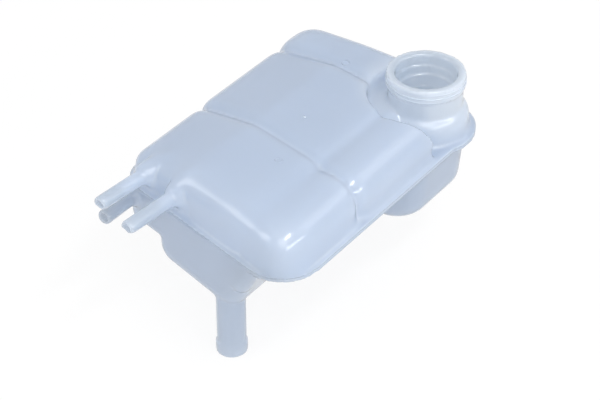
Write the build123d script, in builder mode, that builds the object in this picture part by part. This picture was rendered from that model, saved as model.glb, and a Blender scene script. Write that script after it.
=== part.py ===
from build123d import *

import os
from math import cos, radians, sin, sqrt, tan

os.makedirs("parts", exist_ok=True)

# Coolant expansion tank: two moulded half shells, welded together at a flanged seam.
# The origin is the centre of the filler neck's rim. +X runs along the tank to the hose nipples,
# +Y to the right side and +Z up, out of the neck.
# Heights below are measured from the seam, and places in plan from the neck's axis. Millimetres.

# Walls and seam
wall = 2.5
flange_width = 4.2
flange_thickness = 2.0

# Plan of the tank's walls at the seam. A plan line is its x at y = 0 and its turn from square, in degrees.
side_reach = 27.0
left_side = -121.5
front_wall = (187.4, 13.7)
rear_wall = (-28.5, 2.0)
front_right_round = 22.0
front_left_round = 18.0
rear_left_round = 17.0

# Cross grooves between the chambers, as plan lines whose two sides splay open to the left
front_groove = (111.6, 12.3)
rear_groove = (21.6, 10.0)
groove_depth = 4.0
groove_round = 10.0
groove_splay = 0.4
groove_cover = 1.0

# Main chambers: a flat top that breaks into a slope down to the left shoulder
main_height = 32.0
rear_height = 31.0
main_right = -2.5
main_right_round = 15.0
rear_right = -12.5
break_line = -64.5
break_round = 30.0
rear_fall = 3.0
middle_fall = 12.5
front_fall = 14.0
shoulder_round = 15.0
rear_shoulder_round = 24.0
front_round = 15.0
rear_round = 17.0

# Side lobes: a long pillow along the right side, in two lengths, with its ridge and its width taken from that side
lobe_height = 30.0
lobe_width = 44.7
lobe_left_height = 25.0
lobe_ridge = 24.7
lobe_ridge_round = 45.0
lobe_crown_round = 18.0
lobe_left_round = 17.0
lobe_front_round = 16.0
lobe_rear = (10.7, 0.0)

# Shelf and dome under the neck, in a round recess cut out of the chambers
dome_radius = 29.2
ear_radius = 34.3
shelf_height = 22.0
shelf_left = -48.0
shelf_front = 48.0
shelf_rear = -27.0
dome_round = 11.0
recess_place = (6.0, 1.0)
recess_radius = 35.5
recess_flare = 3.0

# Filler neck
rim_height = 42.5
neck_radius = 26.0
neck_collar_length = 9.5
neck_waist_radius = 24.8
neck_waist_taper = 1.0
neck_bore_radius = 20.4
neck_bore_depth = 8.4
neck_step_radius = 19.0
neck_step_depth = 14.0
seat_depth = 17.0
seat_hole_radius = 8.6
rim_bevel = 0.8

# Hose nipples: height above the seam, y at the front wall, length in front of it, turn in degrees
upper_nipples = ((13.0, -102.0, 43.2, -4.0), (13.0, -72.5, 45.3, -4.0))
lower_nipple = (-7.5, -112.8, 34.0, 0.0)
nipple_radius = 5.0
nipple_bore_radius = 3.0
nipple_end_bevel = 1.0
nipple_root = 16.0
nipple_collar_radius = 6.6
nipple_collar_length = 7.5

# Pointed fairings that carry the upper nipples' roots up the rounded front. Each follows the rounding through
# three places: y, angle up the rounding in degrees, depth of its axis under the surface, and radius.
fairing_root_radius = 8.0
fairings = (
    ((-99.0, 45.0, 3.3, 7.3), (-95.0, 70.0, 2.8, 5.2), (-90.4, 90.0, 0.8, 1.2)),
    ((-70.0, 28.0, 4.4, 7.6), (-66.8, 60.0, 3.0, 5.6), (-63.5, 90.0, 0.8, 1.2)),
)

# Lower shell: shallow tray, trough and two sumps
tray_depth = 12.0
tray_bevel = 9.5
trough_depth = 28.0
trough_left = -117.5
trough_rear = (-20.0, 0.0)
trough_round = 8.0
trough_end_round = 7.0
sump_depth = 46.0
sump_left_depth = 43.5
sump_left = -90.5
sump_round = 14.0
sump_rear = (104.0, 12.3)
sump_front_round = 10.0
funnel_top = 5.0
funnel_bottom = -20.6
rear_sump_depth = 42.0
rear_sump_front = 59.0
rear_sump_left = -70.0
rear_sump_corner = 25.0
rear_sump_round = 12.0
rear_sump_edge_round = 11.0
rear_sump_draft = 5.0

# Outlet pipe
outlet_place = (174.2, -28.8)
outlet_radius = 9.4
outlet_bead_radius = 10.2
outlet_bead_length = 8.5
outlet_bore_radius = 7.0
outlet_end = -85.8

# Fixing ears on the left side
ear_hole_radius = 3.5
ear_tip_radius = 9.0
ear_thickness = 4.0
ear_top = -10.0
ear_reach = 14.0
ear_root = 5.0
ear_places = (30.0, 120.0)

# Working extents, past every surface of the tank
skirt = 25.0
long_reach = 400.0

# The lower shell's front wall stands flush with the edge of the flange.
lower_front = (front_wall[0] + flange_width / cos(radians(front_wall[1])), front_wall[1])


def level(height):
    """Horizontal plane at a height above the seam."""
    return Plane.XY.offset(height - rim_height)


def upright(x):
    """Plane square to X, with Y across and the height above the seam upward."""
    return Plane(origin=(x, 0, -rim_height), x_dir=(0, 1, 0), z_dir=(1, 0, 0))


def along(line, y, inset=0.0):
    """X of a plan line at y, with the line moved forward by the inset."""
    return line[0] + y * tan(radians(line[1])) + inset / cos(radians(line[1]))


def rounded_sketch(points, radii, inset):
    """Anticlockwise polygon with rounded corners, each side moved inward by the inset."""
    corners = []
    rounds = []
    for before, here, after, radius in zip(points[-1:] + points[:-1], points, points[1:] + points[:1], radii):
        first = (Vector(*here) - Vector(*before)).normalized()
        second = (Vector(*after) - Vector(*here)).normalized()
        normals = Vector(-first.Y - second.Y, first.X + second.X)
        corners.append(Vector(*here) + normals * (inset / (1 + first.dot(second))))
        convex = first.X * second.Y > first.Y * second.X
        rounds.append(radius - inset if radius and convex else radius + inset if radius else 0.0)
    with BuildSketch() as sketch:
        with BuildLine():
            FilletPolyline(*corners, radius=rounds, close=True)
        make_face()
    return sketch.sketch


def outline(front, inset):
    """Plan of the walls at the seam behind a front line, moved inward by the inset."""
    points = [
        (-dome_radius, left_side),
        (along(front, left_side), left_side),
        (along(front, side_reach), side_reach),
        (-dome_radius, side_reach),
    ]
    return rounded_sketch(points, [rear_left_round, front_left_round, front_right_round, dome_radius], inset)


def main_section(height, fall, right, shoulder, corner):
    """Section of a main chamber: points and corner rounds, from the open side."""
    left_height = height - (break_line - left_side) * tan(radians(fall))
    points = [
        (left_side, -skirt),
        (right, -skirt),
        (right, height),
        (break_line, height),
        (left_side, left_height),
    ]
    return points, [0, 0, corner, break_round, shoulder]


def lobe_section(width):
    """Section of a side lobe of a width: points and corner rounds, from the open side."""
    left = side_reach - width
    points = [
        (left, -skirt),
        (side_reach, -skirt),
        (side_reach, lobe_height),
        (side_reach - lobe_ridge, lobe_height),
        (left, lobe_left_height),
    ]
    return points, [0, 0, lobe_crown_round, lobe_ridge_round, lobe_left_round]


def chamber(section, rear, front, rounds, inset, upward=True):
    """A section run along X between two plan lines, with its rear and front ends rounded over."""
    points, radii = section
    profile = rounded_sketch(points, radii, inset)
    left = left_side - skirt
    right = side_reach + skirt
    trim = [
        (along(rear, left, inset), left),
        (along(front, left, -inset), left),
        (along(front, right, -inset), right),
        (along(rear, right, inset), right),
    ]
    with BuildPart() as body:
        with BuildSketch(upright(-long_reach)):
            add(profile)
        extrude(amount=2 * long_reach)
        with BuildSketch(level(-long_reach)):
            Polygon(*trim, align=None)
        extrude(amount=2 * long_reach, mode=Mode.INTERSECT)
        for end, radius in zip((0, -1), rounds):
            rim = body.faces().sort_by(Axis.X)[end].edges().sort_by(Axis.Z)
            fillet(rim[1:] if upward else rim[:-1], radius - inset)
    return body.part


def neck_block(inset):
    """Body under the neck: a round dome at the rear right corner, and the shelf on its left."""
    height = skirt + shelf_height - inset
    with BuildPart() as dome:
        with BuildSketch(level(-skirt)):
            Circle(dome_radius - inset)
        extrude(amount=height)
        fillet(dome.faces().sort_by(Axis.Z)[-1].edges(), dome_round - inset)
    with BuildPart() as shelf:
        with BuildSketch(level(-skirt)):
            with Locations((shelf_rear + inset, -inset)):
                Rectangle(shelf_front - shelf_rear - 2 * inset, -shelf_left - 2 * inset, align=(Align.MIN, Align.MAX))
        extrude(amount=height)
        top = shelf.faces().sort_by(Axis.Z)[-1].edges()
        fillet([top.sort_by(Axis.X)[0], top.sort_by(Axis.Y)[-1]], dome_round - inset)
    with BuildPart() as block:
        add(dome.part)
        add(shelf.part)
    return block.part


def recess(inset):
    """Round space about the neck, flared at the level of the flat top."""
    radius = recess_radius + inset
    flare = recess_flare - inset
    top = main_height - inset
    x, y = recess_place
    with BuildPart() as cut:
        with BuildSketch(Plane(origin=(x, y, -rim_height), x_dir=(1, 0, 0), z_dir=(0, -1, 0))):
            with BuildLine():
                foot = Line((radius, -long_reach), (radius, top - flare))
                rim = JernArc(foot @ 1, (0, 1), flare, -90)
                Polyline(rim @ 1, (radius + flare, long_reach), (0, long_reach), (0, -long_reach), foot @ 0)
            make_face()
        revolve(axis=Axis((x, y, 0), (0, 0, 1)))
    return cut.part


def groove_side(groove, side):
    """Plan line where the chamber on one side of a groove ends, past the groove's middle: side 1 or -1."""
    overlap = groove_round - sqrt(groove_round**2 - (groove_round - groove_depth) ** 2)
    turned = (groove[0], groove[1] + side * groove_splay)
    return groove[0] + side * overlap + along(groove, break_line) - along(turned, break_line), turned[1]


def upper_form(inset):
    """Upper half of the tank as a solid, moved inward by the inset."""
    rear_part = main_section(rear_height, rear_fall, rear_right, rear_shoulder_round, rear_shoulder_round)
    middle_part = main_section(main_height, middle_fall, main_right, shoulder_round, main_right_round)
    front_part = main_section(main_height, front_fall, main_right, shoulder_round, main_right_round)
    before_rear = groove_side(rear_groove, 1)
    after_rear = groove_side(rear_groove, -1)
    before_front = groove_side(front_groove, 1)
    after_front = groove_side(front_groove, -1)
    pieces = [
        chamber(rear_part, rear_wall, before_rear, (rear_round, groove_round), inset),
        chamber(middle_part, after_rear, before_front, (groove_round, groove_round), inset),
        chamber(front_part, after_front, front_wall, (groove_round, front_round), inset),
        chamber(lobe_section(lobe_width), lobe_rear, before_front, (groove_round, groove_round), inset),
        chamber(lobe_section(lobe_width), after_front, front_wall, (groove_round, lobe_front_round), inset),
    ]
    if inset:
        # The chambers open into each other under the grooves.
        deep = inset + groove_depth + groove_cover
        pieces.append(chamber(front_part, rear_wall, front_wall, (rear_round, front_round), deep))
        joining = lobe_section(lobe_width + 2 * deep)
        pieces.append(chamber(joining, lobe_rear, front_wall, (lobe_front_round, lobe_front_round), deep))
    space = recess(inset)
    block = neck_block(inset)
    with BuildPart() as form:
        for piece in pieces:
            add(piece - space)
        add(block)
    return form.part


def lower_form(inset):
    """Lower half of the tank as a solid, moved inward by the inset."""
    bevel = tray_bevel - inset * (2 - sqrt(2))
    funnel_slope = (funnel_top - funnel_bottom) / sump_depth
    trough_right = funnel_top - trough_depth * funnel_slope
    funnel_over = funnel_top + skirt * funnel_slope
    trough = [
        (trough_left, -trough_depth),
        (trough_right, -trough_depth),
        (funnel_over, skirt),
        (trough_left, skirt),
    ]
    front_sump = [
        (sump_left, -sump_left_depth),
        (funnel_bottom, -sump_depth),
        (funnel_over, skirt),
        (sump_left, skirt),
    ]
    trough_section = (trough, [trough_round, trough_round, 0, 0])
    sump_section = (front_sump, [sump_round, sump_round, 0, 0])
    trough_ends = (trough_end_round, trough_end_round)
    sump_ends = (trough_end_round, sump_front_round)
    trough_body = chamber(trough_section, trough_rear, lower_front, trough_ends, inset, upward=False)
    sump_body = chamber(sump_section, sump_rear, lower_front, sump_ends, inset, upward=False)
    tray_plan = outline(front_wall, inset)
    rear_plan = rounded_sketch(
        [
            (-dome_radius, rear_sump_left),
            (rear_sump_front, rear_sump_left),
            (rear_sump_front, side_reach),
            (-dome_radius, side_reach),
        ],
        [rear_sump_round, rear_sump_round, rear_sump_corner, dome_radius],
        inset,
    )
    with BuildPart() as rear_sump:
        with BuildSketch(level(0)):
            add(rear_plan)
        extrude(amount=inset - rear_sump_depth, taper=rear_sump_draft)
        fillet(rear_sump.faces().sort_by(Axis.Z)[0].edges(), rear_sump_edge_round - inset)
    with BuildPart() as form:
        with BuildSketch(level(skirt)):
            add(tray_plan)
        extrude(amount=inset - tray_depth - skirt)
        chamfer(form.faces().sort_by(Axis.Z)[0].edges(), bevel)
        add(trough_body)
        add(sump_body)
        add(rear_sump.part)
    return form.part


def nipple_plane(nipple):
    """Plane at the front wall that looks out along a nipple."""
    height, y, _, turn = nipple
    direction = (cos(radians(turn)), sin(radians(turn)), 0)
    return Plane(origin=(along(front_wall, y), y, height - rim_height), z_dir=direction)


def nipple_tube(nipple):
    """Hose nipple with a bevelled end, rooted inside the front wall."""
    with BuildPart() as tube:
        with BuildSketch(nipple_plane(nipple).offset(-nipple_root)):
            Circle(nipple_radius)
        extrude(amount=nipple_root + nipple[2])
        chamfer(tube.faces().sort_by(Axis.X)[-1].edges(), nipple_end_bevel)
    return tube.part


def nipple_bore(nipple):
    """Bore of a nipple, from its end through the front wall."""
    with BuildPart() as bore:
        with BuildSketch(nipple_plane(nipple).offset(-nipple_root)):
            Circle(nipple_bore_radius)
        extrude(amount=nipple_root + nipple[2] + wall)
    return bore.part


def front_place(y, angle, depth):
    """Point under the front chamber's rounded front, at an angle up the rounding and a depth below its surface."""
    top = main_height - max(0.0, break_line - y) * tan(radians(front_fall))
    reach = front_round - depth
    behind = front_round - reach * cos(radians(angle))
    return Vector(along(front_wall, y, -behind), y, top - front_round + reach * sin(radians(angle)) - rim_height)


def fairing(nipple, course):
    """Bulge from a nipple's root over the rounded front, narrowing to a point."""
    places = [nipple_plane(nipple).origin]
    radii = [fairing_root_radius]
    for y, angle, depth, radius in course:
        places.append(front_place(y, angle, depth))
        radii.append(radius)
    with BuildPart() as bulge:
        for start, end, wide, narrow in zip(places[:-1], places[1:], radii[:-1], radii[1:]):
            climb = end - start
            foot = Plane(origin=start, z_dir=climb)
            with Locations(start):
                Sphere(wide)
            with BuildSketch(foot):
                Circle(wide)
            with BuildSketch(foot.offset(climb.length)):
                Circle(narrow)
            loft()
    return bulge.part


def flange(top, bottom):
    """Seam flange between two heights, as a plate over the whole plan."""
    plan = outline(front_wall, -flange_width)
    with BuildPart() as plate:
        with BuildSketch(level(bottom)):
            add(plan)
            Circle(ear_radius)
        extrude(amount=top - bottom)
    return plate.part


upper_outside = upper_form(0.0)
upper_inside = upper_form(wall)
upper_flange = flange(flange_thickness, 0.0)
upper_tubes = [nipple_tube(nipple) for nipple in upper_nipples]
upper_fairings = [fairing(nipple, course) for nipple, course in zip(upper_nipples, fairings)]
upper_bores = [nipple_bore(nipple) for nipple in upper_nipples]

with BuildPart() as upper_shell:
    add(upper_outside)
    split(bisect_by=level(0), keep=Keep.TOP)
    add(upper_flange)
    for piece in upper_fairings + upper_tubes:
        add(piece)
    # The neck stands on the shelf and reaches down into the dome.
    with BuildSketch(Plane.XZ):
        with BuildLine():
            Polyline(
                (0, 0),
                (neck_radius, 0),
                (neck_radius, -neck_collar_length),
                (neck_waist_radius, -neck_collar_length - neck_waist_taper),
                (neck_waist_radius, dome_round - rim_height),
                (0, dome_round - rim_height),
                close=True,
            )
        make_face()
    revolve(axis=Axis.Z)
    add(upper_inside, mode=Mode.SUBTRACT)
    with BuildSketch(Plane.XZ):
        with BuildLine():
            Polyline(
                (0, wall),
                (neck_bore_radius + rim_bevel + wall, wall),
                (neck_bore_radius, -rim_bevel),
                (neck_bore_radius, -neck_bore_depth),
                (neck_step_radius, -neck_bore_depth),
                (neck_step_radius, -neck_step_depth),
                (seat_hole_radius, -seat_depth),
                (seat_hole_radius, -rim_height),
                (0, -rim_height),
                close=True,
            )
        make_face()
    revolve(axis=Axis.Z, mode=Mode.SUBTRACT)
    for bore in upper_bores:
        add(bore, mode=Mode.SUBTRACT)

upper_shell.part.label = "upper_shell"
export_step(upper_shell.part, "parts/upper_shell.step")

lower_outside = lower_form(0.0)
lower_inside = lower_form(wall)
lower_flange = flange(0.0, -flange_thickness)
lower_tube = nipple_tube(lower_nipple)
lower_bore = nipple_bore(lower_nipple)

with BuildPart() as lower_shell:
    add(lower_outside)
    add(lower_flange)
    add(lower_tube)
    with BuildSketch(nipple_plane(lower_nipple).offset(-nipple_root)):
        Circle(nipple_collar_radius)
    extrude(amount=nipple_root + nipple_collar_length)
    # Outlet pipe with a bead at its open end
    with BuildSketch(level(outlet_end)):
        with Locations(outlet_place):
            Circle(outlet_radius)
    extrude(amount=-outlet_end - sump_depth + sump_front_round)
    with BuildSketch(level(outlet_end)):
        with Locations(outlet_place):
            Circle(outlet_bead_radius)
    extrude(amount=outlet_bead_length)
    # Fixing ears
    for x in ear_places:
        with BuildSketch(level(ear_top)):
            with Locations((x, trough_left + ear_root)):
                Rectangle(2 * ear_tip_radius, ear_reach + ear_root, align=(Align.CENTER, Align.MAX))
            with Locations((x, trough_left - ear_reach)):
                Circle(ear_tip_radius)
        extrude(amount=-ear_thickness)
    add(lower_inside, mode=Mode.SUBTRACT)
    with BuildSketch(level(outlet_end)):
        with Locations(outlet_place):
            Circle(outlet_bore_radius)
    extrude(amount=-outlet_end - sump_depth + sump_front_round, mode=Mode.SUBTRACT)
    add(lower_bore, mode=Mode.SUBTRACT)
    with BuildSketch(level(ear_top)):
        for x in ear_places:
            with Locations((x, trough_left - ear_reach)):
                Circle(ear_hole_radius)
    extrude(amount=-ear_thickness, mode=Mode.SUBTRACT)
    split(bisect_by=level(0), keep=Keep.BOTTOM)

lower_shell.part.label = "lower_shell"
export_step(lower_shell.part, "parts/lower_shell.step")
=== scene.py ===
import math

import bmesh
import bpy
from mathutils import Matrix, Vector


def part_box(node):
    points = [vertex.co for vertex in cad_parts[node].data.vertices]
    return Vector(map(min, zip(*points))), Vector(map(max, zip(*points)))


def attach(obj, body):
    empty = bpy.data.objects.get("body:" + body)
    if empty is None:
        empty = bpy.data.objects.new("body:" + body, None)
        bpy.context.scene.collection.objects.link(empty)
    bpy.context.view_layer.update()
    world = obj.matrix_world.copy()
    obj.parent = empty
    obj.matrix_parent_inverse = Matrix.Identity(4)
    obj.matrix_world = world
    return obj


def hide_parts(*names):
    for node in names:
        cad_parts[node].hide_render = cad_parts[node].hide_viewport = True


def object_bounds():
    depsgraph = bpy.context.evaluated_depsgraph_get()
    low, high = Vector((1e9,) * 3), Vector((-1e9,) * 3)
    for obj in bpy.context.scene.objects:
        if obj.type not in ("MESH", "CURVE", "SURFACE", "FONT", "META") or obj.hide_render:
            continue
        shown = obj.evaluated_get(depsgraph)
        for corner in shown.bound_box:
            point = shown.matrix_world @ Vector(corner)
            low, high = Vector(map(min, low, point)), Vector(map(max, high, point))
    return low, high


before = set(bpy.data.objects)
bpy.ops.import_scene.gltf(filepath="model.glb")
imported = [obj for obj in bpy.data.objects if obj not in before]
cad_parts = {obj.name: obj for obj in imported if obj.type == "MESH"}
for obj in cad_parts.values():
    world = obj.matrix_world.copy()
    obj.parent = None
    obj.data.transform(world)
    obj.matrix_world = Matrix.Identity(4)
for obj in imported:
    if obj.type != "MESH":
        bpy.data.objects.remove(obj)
cad_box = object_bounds()
scene = bpy.context.scene
scene.view_settings.view_transform = "Standard"

# Lengths are in metres from the centre of the filler neck's rim, and colours are linear.
WHITE = (1, 1, 1, 1)
BLACK = (0, 0, 0, 1)

# Colours of the plastic: cloudy wall; a pale tint round the neck (thick plastic, with painted light in the
# recess round it) and for painted highlights on edges and creases; painted shade for the neck's bore and
# the nipples; and light that has come through the wall
CLOUD_TINTS = ((0.505, 0.605, 0.750), (0.580, 0.675, 0.815))
PALE_AND_PAINTED_LIGHT_TINT = (0.79, 0.86, 0.94)
PAINTED_SHADE_TINT = (0.46, 0.53, 0.61)
PASSED_TINT = (0.88, 0.912, 0.957)
PAINTED_SHADE_PASSED_TINT = (0.79, 0.83, 0.88)

# Fine structure of the plastic
CLOUD = {"Scale": 22.0, "Detail": 3.0}
GRAIN = {"Scale": 900.0, "Detail": 2.0}
GRAIN_BUMP = {"Strength": 0.06, "Distance": 0.0003}
ROUGHNESS = {"To Min": 0.20, "To Max": 0.30}
SURFACE = {
    "IOR": 1.6,
    "Specular IOR Level": 1.0,
    "Coat Weight": 0.5,
    "Coat IOR": 1.6,
    "Coat Roughness": 0.12,
}
FILM_ROUGHNESS = 0.20
FILM_IOR = 1.5

# Pointiness at which creases and edges get a painted highlight, and the flat range between them
PAINTED_HIGHLIGHT_POINTINESS = (0.465, 0.70)
FLAT_POINTINESS = (0.495, 0.56)

# Where the colour changes: reach from the rim's centre (paler: the thick plastic, and painted light in the
# recess round the neck), radius in the neck's bore and x along the nipples (painted shade)
NECK_REACH = (0.0320, 0.0520)
BORE_RADIUS = (0.0205, 0.0262)
NIPPLE_ROOT = (0.182, 0.192)
NIPPLE_PAINTED_SHADE = 0.6
NECK_PASSES_LESS = 0.06

# Share of light that the walls and the gate's solid pip let through
WALL_PASSING = 0.68
GATE_PASSING = 0.15

# Softening of the shells
SHELL_VOXEL = 0.0012
SHELL_PASSES = 3
SMOOTH_FACTOR = 0.5

# Zones of further easing, each from where it starts to where it is full; heights are over the seam
FLANGE_FOOT = (0.0012, 0.0027)
FLANGE_HEAD = (0.012, 0.0105)
NOSE_START_X = (0.120, 0.142)
NOSE_SIDE_Y = (-0.060, -0.046)
NOSE_FOOT = (0.003, 0.006)
OVER_NIPPLES = (0.020, 0.024)
OVER_NIPPLES_SHARE = 0.7
CHAMBER_REACH = (0.036, 0.044)
CHAMBER_FOOT = (0.012, 0.018)
CHAMBER_FRONT_X = (0.150, 0.140)

# Share of a detail's height by which its edge lies sunk in the wall
SUNK = -0.4

# Marks of the mould's pins and gate
PIN_MARK = {"inner": 0.0018, "outer": 0.0027, "height": 0.00022, "inner_lift": SUNK}
GATE_MARK = {"inner": 0.0001, "outer": 0.0012, "height": 0.0005, "inner_lift": 1.1}

# Studio
FLOOR_REACH = 6.0
FLOOR_COLOUR = (0.9, 0.9, 0.9, 1)
FLOOR_WHITE_SHARE = 0.88
FILL_COLOUR = (0.77, 0.77, 0.77, 1)
TANK_MIDDLE = (0.1, -0.05, -0.05)
FRONT_MIDDLE = (0.15, -0.05, -0.05)
FRONT_TOP = (0.15, -0.02, -0.03)
CAMERA_PLACE = (0.93477, 0.56627, 0.69104)
CAMERA_TARGET = (0.115246, -0.018106, -0.042488)
SENSOR_WIDTH = 36.0
LENS = 119.56


def node_setup(name):
    """New node material with its tree, emptied but for the output."""
    material = bpy.data.materials.new(name)
    material.use_nodes = True
    tree = material.node_tree
    tree.nodes.clear()
    output = tree.nodes.new("ShaderNodeOutputMaterial")
    return material, tree, output


def add(tree, kind, inputs=None, **settings):
    """New node with its settings; each input takes a plain value or another node's output."""
    node = tree.nodes.new("ShaderNode" + kind)
    for setting, value in settings.items():
        setattr(node, setting, value)
    for socket, value in (inputs or {}).items():
        if isinstance(value, bpy.types.NodeSocket):
            tree.links.new(value, node.inputs[socket])
        else:
            node.inputs[socket].default_value = value
    return node


def maths(tree, operation, first, second):
    """Result of an operation on two values."""
    return add(tree, "Math", {0: first, 1: second}, operation=operation).outputs[0]


def length(tree, vector):
    """Length of a vector."""
    return add(tree, "VectorMath", {0: vector}, operation="LENGTH").outputs["Value"]


def zone(tree, value, limits, before, after):
    """Smooth passage of a value between two limits, from one share to another."""
    span = {"From Min": limits[0], "From Max": limits[1], "To Min": before, "To Max": after}
    passage = add(tree, "MapRange", {"Value": value, **span}, interpolation_type="SMOOTHSTEP")
    return passage.outputs["Result"]


def mixed_colour(tree, share, first, second):
    """Colour between two."""
    return add(tree, "Mix", {"Factor": share, "A": first, "B": second}, data_type="RGBA").outputs["Result"]


def mixed_shader(tree, share, first, second):
    """Shader between two."""
    return add(tree, "MixShader", {"Fac": share, 1: first, 2: second}).outputs["Shader"]


def milky_plastic(name, lightness, passing_share):
    """Translucent bluish-white polypropylene: lets light through a cloudy wall, glossy on the surface."""
    material, tree, output = node_setup(name)

    def shade(red, green, blue):
        return (red * lightness, green * lightness, blue * lightness, 1)

    place = add(tree, "TexCoord").outputs["Object"]
    shape = add(tree, "NewGeometry").outputs

    # Paler round the neck, partly for its thick plastic and partly as painted light that lifts the shade
    # in the recess round it; painted shade in the neck's bore and on the nipples
    by_the_neck = zone(tree, length(tree, place), NECK_REACH, 1.0, 0.0)
    sideways = add(tree, "VectorMath", {0: place, 1: (1, 1, 0)}, operation="MULTIPLY").outputs["Vector"]
    bore = zone(tree, length(tree, sideways), BORE_RADIUS, 1.0, 0.0)
    along = add(tree, "SeparateXYZ", {0: place}).outputs["X"]
    nipples = zone(tree, along, NIPPLE_ROOT, 0.0, NIPPLE_PAINTED_SHADE)
    painted_shade = maths(tree, "MAXIMUM", maths(tree, "MULTIPLY", bore, by_the_neck), nipples)

    # Painted highlight: creases and edges are made pale away from the neck
    edges = add(tree, "ValToRGB", {"Fac": shape["Pointiness"]})
    stops = edges.color_ramp.elements
    for stop, position in zip(stops, PAINTED_HIGHLIGHT_POINTINESS):
        stop.position = position
        stop.color = WHITE
    for position in FLAT_POINTINESS:
        stops.new(position).color = BLACK
    away = maths(tree, "SUBTRACT", 1.0, by_the_neck)
    painted_highlight = maths(tree, "MULTIPLY", edges.outputs["Color"], away)
    pale_and_painted_light = maths(tree, "MAXIMUM", painted_highlight, by_the_neck)

    cloud = add(tree, "TexNoise", {"Vector": place, **CLOUD}).outputs["Fac"]
    tint = add(tree, "ValToRGB", {"Fac": cloud})
    for stop, colour in zip(tint.color_ramp.elements, CLOUD_TINTS):
        stop.color = shade(*colour)
    pale = mixed_colour(tree, pale_and_painted_light, tint.outputs["Color"], shade(*PALE_AND_PAINTED_LIGHT_TINT))
    # Base colour with painted highlights and painted shade mixed in
    body = mixed_colour(tree, painted_shade, pale, shade(*PAINTED_SHADE_TINT))
    passed = mixed_colour(tree, painted_shade, shade(*PASSED_TINT), shade(*PAINTED_SHADE_PASSED_TINT))

    grain = add(tree, "TexNoise", {"Vector": place, **GRAIN}).outputs["Fac"]
    bump = add(tree, "Bump", {"Height": grain, **GRAIN_BUMP}).outputs["Normal"]
    roughness = add(tree, "MapRange", {"Value": cloud, **ROUGHNESS}).outputs["Result"]
    varying = {"Base Color": body, "Roughness": roughness, "Normal": bump}
    surface = add(tree, "BsdfPrincipled", {**SURFACE, **varying}).outputs["BSDF"]
    passing = add(tree, "BsdfTranslucent", {"Color": passed, "Normal": bump}).outputs["BSDF"]
    shares = {"To Min": passing_share, "To Max": passing_share - NECK_PASSES_LESS}
    share = add(tree, "MapRange", {"Value": by_the_neck, **shares}).outputs["Result"]
    wall = mixed_shader(tree, share, surface, passing)

    # A glossy film lies on the outside only
    film = add(tree, "BsdfGlossy", {"Roughness": FILM_ROUGHNESS}).outputs["BSDF"]
    rise = add(tree, "Fresnel", {"IOR": FILM_IOR}).outputs["Fac"]
    outside = maths(tree, "SUBTRACT", 1.0, shape["Backfacing"])
    skin = mixed_shader(tree, maths(tree, "MULTIPLY", rise, outside), wall, film)
    tree.links.new(skin, output.inputs["Surface"])
    return material


def applied(piece):
    """Bake a piece's modifiers into its mesh."""
    evaluated = piece.evaluated_get(bpy.context.evaluated_depsgraph_get())
    mesh = bpy.data.meshes.new_from_object(evaluated)
    piece.modifiers.clear()
    piece.data = mesh


def smoothing(piece, passes):
    """Smoothing that is still to be applied to a piece."""
    smooth = piece.modifiers.new("smooth", "SMOOTH")
    smooth.factor = SMOOTH_FACTOR
    smooth.iterations = passes
    return smooth


def softened(name):
    """Copy of a shell with its creases eased as the mould's small radii ease them."""
    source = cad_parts[name]
    piece = bpy.data.objects.new(name + "_moulded", source.data.copy())
    scene.collection.objects.link(piece)
    remesh = piece.modifiers.new("remesh", "REMESH")
    remesh.mode = "VOXEL"
    remesh.voxel_size = SHELL_VOXEL
    smoothing(piece, SHELL_PASSES)
    applied(piece)
    return piece


def ease(piece, passes, share_at):
    """Smooth a piece further where a share is given for a point."""
    group = piece.vertex_groups.new(name="ease")
    for vertex in piece.data.vertices:
        share = share_at(vertex.co)
        if share > 0:
            group.add([vertex.index], share, "REPLACE")
    smoothing(piece, passes).vertex_group = group.name
    applied(piece)
    piece.vertex_groups.clear()


def fade(value, start, end):
    """Share from 0 at the start to 1 at the end, whichever of them is the higher."""
    return min(1.0, max(0.0, (value - start) / (end - start)))


def at_the_flange(point):
    """The walls run out onto the flange in a soft hollow."""
    height = point.z - seam_height
    return fade(height, *FLANGE_FOOT) * fade(height, *FLANGE_HEAD)


def on_the_chambers(point):
    """The chambers' grooves and roundings, away from the neck and the nipples."""
    height = point.z - seam_height
    clear_of_the_neck = fade(point.length, *CHAMBER_REACH)
    return clear_of_the_neck * fade(height, *CHAMBER_FOOT) * fade(point.x, *CHAMBER_FRONT_X)


def at_the_nose(point):
    """The front ends of the chamber and the lobe fall in one soft sweep."""
    height = point.z - seam_height
    beside_the_nipples = fade(point.y, *NOSE_SIDE_Y) * fade(height, *NOSE_FOOT)
    above_the_nipples = OVER_NIPPLES_SHARE * fade(height, *OVER_NIPPLES)
    return fade(point.x, *NOSE_START_X) * max(beside_the_nipples, above_the_nipples)


def join_rings(bm, rings):
    """Faces between each ring of points and the next."""
    for here, after in zip(rings, rings[1:]):
        for i in range(len(here)):
            j = (i + 1) % len(here)
            bm.faces.new((here[i], here[j], after[j], after[i]))


def closed_piece(bm, name):
    """Piece of a closed mesh, with its faces turned outward and shaded smooth."""
    bmesh.ops.recalc_face_normals(bm, faces=bm.faces)
    mesh = bpy.data.meshes.new(name)
    bm.to_mesh(mesh)
    bm.free()
    mesh.shade_smooth()
    piece = bpy.data.objects.new(name, mesh)
    scene.collection.objects.link(piece)
    return piece


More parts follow.
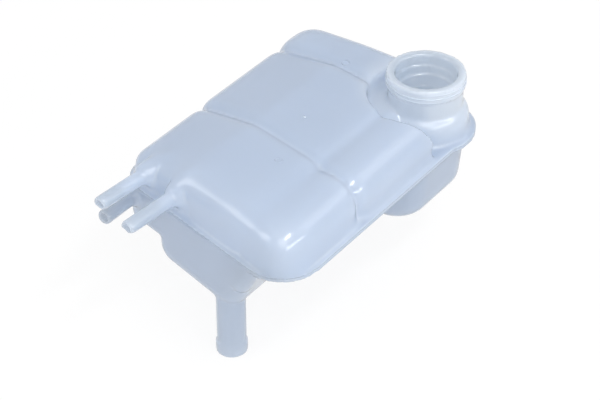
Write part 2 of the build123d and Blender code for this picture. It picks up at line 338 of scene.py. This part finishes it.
def moulding_mark(name, place, shell, inner, outer, height, inner_lift):
    """Faint round mark of the mould's pin or gate, lying on a shell's top."""
    over_the_tank = 0.05
    steps = 40
    above = Vector((place[0], place[1], over_the_tank))
    _, seat, normal, _ = shell.ray_cast(above, Vector((0, 0, -1)))
    turned = normal.to_track_quat("Z", "X")
    middle = (inner + outer) / 2
    crest = 0.2 * (outer - inner)
    profile = ((inner, inner_lift), (middle - crest, 1.0), (middle + crest, 0.9), (outer, SUNK))
    bm = bmesh.new()
    rings = []
    for radius, lift in profile:
        ring = []
        for step in range(steps):
            angle = 2 * math.pi * step / steps
            spot = Vector((radius * math.cos(angle), radius * math.sin(angle), lift * height))
            ring.append(bm.verts.new(seat + turned @ spot))
        rings.append(ring)
    join_rings(bm, rings + rings[:1])
    return closed_piece(bm, name)


def neck_thread():
    """Fine screw thread round the filler neck, its two ends running out into the wall."""
    radius = 0.0260
    pitch = 0.0028
    turns = 2.2
    top = -0.0020
    height = 0.00045
    half_width = 0.00065
    profile = ((1.0, SUNK), (0.55, 0.75), (0.0, 1.0), (-0.55, 0.75), (-1.0, SUNK))
    steps = 96
    steepness = 8
    least = 0.1
    bm = bmesh.new()
    rings = []
    for step in range(int(steps * turns) + 1):
        turn = step / steps
        angle = 2 * math.pi * turn
        run_out = max(least, min(1.0, steepness * turn / turns, steepness * (1 - turn / turns)))
        middle = top - half_width - pitch * turn
        ring = []
        for side, out in profile:
            reach = radius + height * (out * run_out + SUNK * (1 - run_out))
            spot = (reach * math.cos(angle), reach * math.sin(angle), middle + side * half_width)
            ring.append(bm.verts.new(spot))
        rings.append(ring)
    join_rings(bm, rings)
    bm.faces.new(rings[0])
    bm.faces.new(rings[-1])
    return closed_piece(bm, "neck_thread")


plastic = {
    "upper_shell": milky_plastic("milky_plastic", 1.015, WALL_PASSING),
    # The lower shell is a darker copy of the same plastic: painted shade
    "lower_shell": milky_plastic("milky_plastic_lower_painted_shade", 0.945, WALL_PASSING),
    "gate_mark": milky_plastic("milky_plastic_gate", 1.04, GATE_PASSING),
}
easing = {
    "upper_shell": ((40, at_the_flange), (36, on_the_chambers), (340, at_the_nose)),
    "lower_shell": (),
}
seam_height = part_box("upper_shell")[0].z
shells = {}
for name in ("upper_shell", "lower_shell"):
    piece = softened(name)
    for passes, share_at in easing[name]:
        ease(piece, passes, share_at)
    piece.data.materials.clear()
    piece.data.materials.append(plastic[name])
    piece.data.shade_smooth()
    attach(piece, "root")
    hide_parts(name)
    shells[name] = piece

details = [
    neck_thread(),
    moulding_mark("rear_pin_mark", (0.0059, -0.0589), shells["upper_shell"], **PIN_MARK),
    moulding_mark("front_pin_mark", (0.1249, -0.0273), shells["upper_shell"], **PIN_MARK),
    moulding_mark("gate_mark", (0.0767, -0.0420), shells["upper_shell"], **GATE_MARK),
]
for piece in details:
    piece.data.materials.append(plastic.get(piece.name, plastic["upper_shell"]))
    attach(piece, "root")


def shown_backdrop(tree):
    """1 for a ray that shows the backdrop itself: to the camera, in a reflection or through a wall."""
    ray = add(tree, "LightPath").outputs
    seen = maths(tree, "MAXIMUM", ray["Is Camera Ray"], ray["Is Glossy Ray"])
    return maths(tree, "MAXIMUM", seen, ray["Is Transmission Ray"])


def make_floor():
    """Pale floor under the outlet's end; it stays white to the camera and keeps a soft shadow."""
    height = cad_box[0].z
    sides = ((-1, -1), (1, -1), (1, 1), (-1, 1))
    corners = [(x * FLOOR_REACH, y * FLOOR_REACH, height) for x, y in sides]
    mesh = bpy.data.meshes.new("floor")
    mesh.from_pydata(corners, [], [(0, 1, 2, 3)])
    floor = bpy.data.objects.new("floor", mesh)
    scene.collection.objects.link(floor)
    material, tree, output = node_setup("pale_floor")
    matt = add(tree, "BsdfDiffuse", {"Color": FLOOR_COLOUR}).outputs["BSDF"]
    white = add(tree, "Emission").outputs["Emission"]
    share = maths(tree, "MULTIPLY", shown_backdrop(tree), FLOOR_WHITE_SHARE)
    tree.links.new(mixed_shader(tree, share, matt, white), output.inputs["Surface"])
    mesh.materials.append(material)


def make_world():
    """Soft even light from all round; white where the camera sees past the floor."""
    world = bpy.data.worlds.new("studio")
    scene.world = world
    world.use_nodes = True
    tree = world.node_tree
    tree.nodes.clear()
    output = add(tree, "OutputWorld")
    fill = add(tree, "Background", {"Color": FILL_COLOUR}).outputs["Background"]
    white = add(tree, "Background").outputs["Background"]
    tree.links.new(mixed_shader(tree, shown_backdrop(tree), fill, white), output.inputs["Surface"])


def set_towards(thing, place, target):
    """Put a light or the camera at a place, turned to a target."""
    thing.location = place
    thing.rotation_mode = "QUATERNION"
    thing.rotation_quaternion = (Vector(target) - Vector(place)).to_track_quat("-Z", "Y")
    scene.collection.objects.link(thing)


def softbox(name, place, target, width, depth, watts):
    """Rectangular studio light at a place, turned to a target."""
    lamp = bpy.data.lights.new(name, "AREA")
    lamp.shape = "RECTANGLE"
    lamp.size = width
    lamp.size_y = depth
    lamp.energy = watts
    set_towards(bpy.data.objects.new(name, lamp), place, target)


def make_camera():
    """Camera at the photograph's angle."""
    lens = bpy.data.cameras.new("camera")
    lens.sensor_width = SENSOR_WIDTH
    lens.lens = LENS
    lens.clip_start = 0.05
    lens.clip_end = 50.0
    camera = bpy.data.objects.new("camera", lens)
    set_towards(camera, CAMERA_PLACE, CAMERA_TARGET)
    scene.camera = camera


make_floor()
make_world()
softbox("key", (-0.9, 0.65, 0.82), TANK_MIDDLE, width=0.8, depth=0.6, watts=1.4)
softbox("front", (1.0, -0.9, 0.7), TANK_MIDDLE, width=0.6, depth=0.6, watts=2.4)
softbox("side", (0.15, 1.2, 0.5), FRONT_MIDDLE, width=1.5, depth=0.08, watts=4.5)
softbox("broad", (0.9, 0.7, 1.1), TANK_MIDDLE, width=1.0, depth=1.0, watts=6.0)
softbox("top", (0.15, 0.60, 1.1), FRONT_TOP, width=0.60, depth=0.16, watts=4.6)
make_camera()
